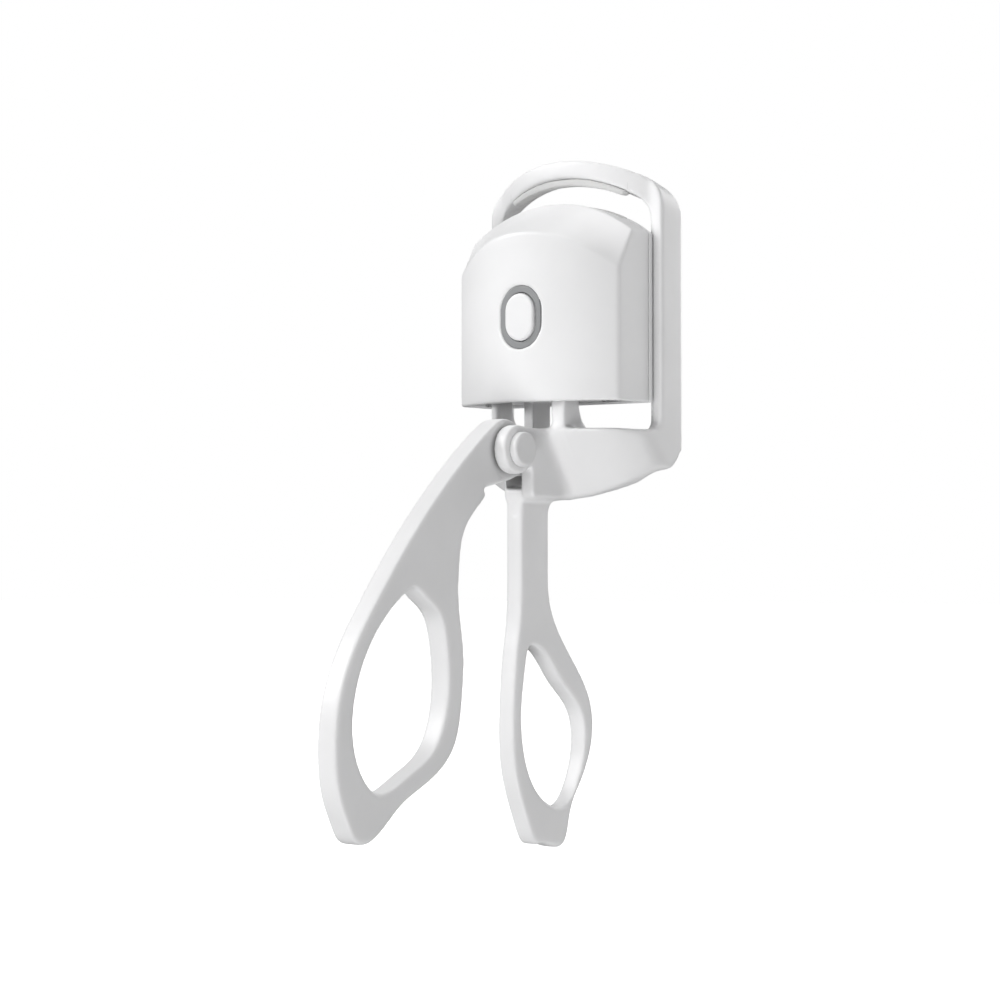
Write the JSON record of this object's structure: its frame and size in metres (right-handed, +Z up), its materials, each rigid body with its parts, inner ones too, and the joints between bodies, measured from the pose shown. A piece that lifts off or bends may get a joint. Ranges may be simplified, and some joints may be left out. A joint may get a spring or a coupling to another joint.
{
  "type": "eyelash curler",
  "caption": "Rechargeable heated eyelash curler with scissor finger loops, a lever-driven head sliding on two rails, arched loop, silicone pads, power button and charging socket",
  "frame": {"origin": "middle of the fixed handle's finger loop, on the tool's middle plane", "axes": "+Z up along the tool to the curling arch, -Y the front with the power button, +Y towards the eye, +X along the pivot pin to its head"},
  "size_m": [0.037, 0.0712, 0.1183],
  "materials": {
    "white_shell": "semi-gloss moulded ABS",
    "button_cap": "satin moulded ABS",
    "light_ring": "translucent grey light guide",
    "pin_plastic": "semi-gloss moulded acetal",
    "steel": "satin",
    "pad_silicone": "matte silicone",
    "heater_film": "etched heater film",
    "inner_plastic": "matte heat-resistant plastic",
    "board_green": "solder mask",
    "chip_black": "matte epoxy",
    "led_clear": "clear lens",
    "cell_wrap": "aluminised pouch film"
  },
  "bodies": {
    "frame": {"frame": "white_shell", "upper_pad": "pad_silicone", "pivot_pin": "pin_plastic", "pivot_cap": "pin_plastic"},
    "front_handle": {"front_handle": "white_shell", "drive_pin": "steel"},
    "head": {"front_cover": "white_shell", "rear_cover": "white_shell", "base_cover": "white_shell", "chassis": "inner_plastic", "cover_screws": "steel", "circuit_board": "board_green", "tact_switch": "chip_black", "status_lights": "led_clear", "control_chip": "chip_black", "light_ring": "light_ring", "charging_socket": "steel", "battery": "cell_wrap", "lower_pad": "pad_silicone", "heater": "heater_film", "heater_holder": "inner_plastic"},
    "power_button": {"power_button": "button_cap"}
  },
  "joints": [
    {"name": "handle_pivot", "type": "hinge", "parent": "frame", "child": "front_handle", "pos_m": [0, -0.014, 0.047], "axis": [1, 0, 0], "range_deg": [0, 16]},
    {"name": "head_slide", "type": "slide", "parent": "frame", "child": "head", "axis": [0, 0, 1], "range_m": [0, 0.0031]},
    {"name": "button_press", "type": "slide", "parent": "head", "child": "power_button", "axis": [0, 1, 0], "range_m": [0, 0.0004], "stiffness_N_per_m": 1500, "springref_m": -0.0004}
  ],
  "couplings": [
    {"joint": "head_slide", "follows": "handle_pivot", "m_per_rad": 0.01096}
  ]
}
